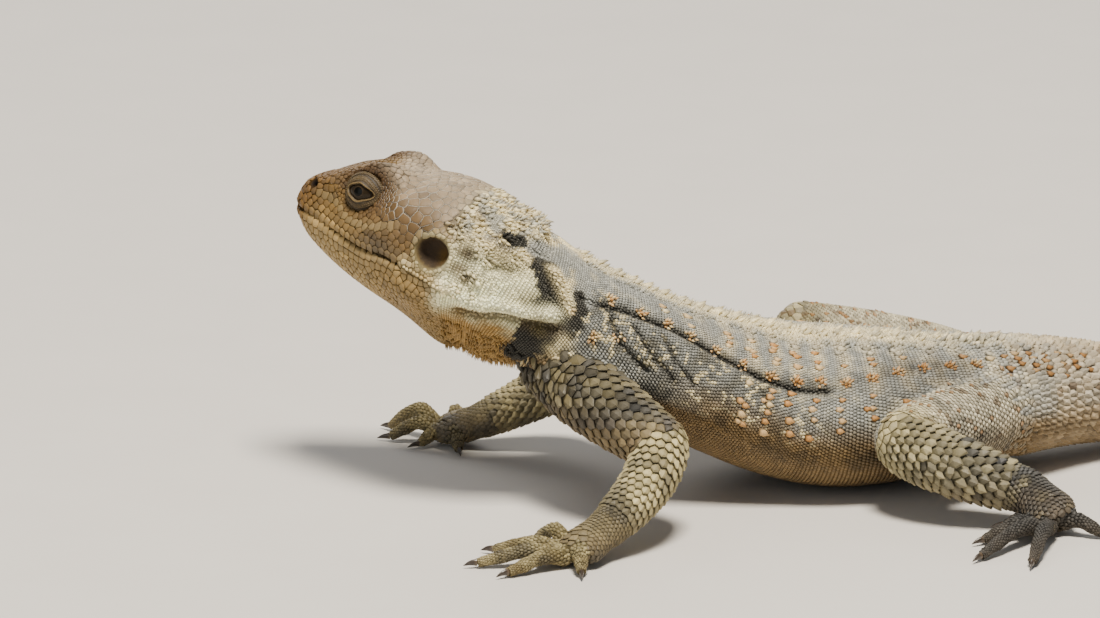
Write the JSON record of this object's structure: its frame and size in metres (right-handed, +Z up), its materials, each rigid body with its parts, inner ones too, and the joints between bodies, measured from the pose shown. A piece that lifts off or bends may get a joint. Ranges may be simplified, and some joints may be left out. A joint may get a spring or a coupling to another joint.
{
  "type": "starred agama lizard, life-size still model",
  "caption": "Life-size still model of a starred agama lizard propped up on its forelimbs, with a spiny neck, star-like spine clusters and a ringed tail.",
  "frame": {"origin": "on the floor under the middle of the whole animal's box", "axes": "+X from the snout towards the tip of the tail, +Z up, -Y on the animal's left side"},
  "size_m": [0.2862, 0.1176, 0.0522],
  "materials": {
    "skin": "dry scaly skin, matt",
    "eye": "wet gloss",
    "claw": "horn, smooth"
  },
  "bodies": {
    "root": {"head": "skin", "neck": "skin", "torso": "skin", "tail_base": "skin", "tail_middle": "skin", "tail_tip": "skin", "upper_arm_left": "skin", "forearm_left": "skin", "hand_left": "skin", "upper_arm_right": "skin", "forearm_right": "skin", "hand_right": "skin", "thigh_left": "skin", "shank_left": "skin", "foot_left": "skin", "thigh_right": "skin", "shank_right": "skin", "foot_right": "skin", "eye_left": "eye", "eye_right": "eye", "claw_hand_left_1": "claw", "claw_hand_left_2": "claw", "claw_hand_left_3": "claw", "claw_hand_left_4": "claw", "claw_hand_left_5": "claw", "claw_hand_right_1": "claw", "claw_hand_right_2": "claw", "claw_hand_right_3": "claw", "claw_hand_right_4": "claw", "claw_hand_right_5": "claw", "claw_foot_left_1": "claw", "claw_foot_left_2": "claw", "claw_foot_left_3": "claw", "claw_foot_left_4": "claw", "claw_foot_left_5": "claw", "claw_foot_right_1": "claw", "claw_foot_right_2": "claw", "claw_foot_right_3": "claw", "claw_foot_right_4": "claw", "claw_foot_right_5": "claw"}
  },
  "joints": []
}
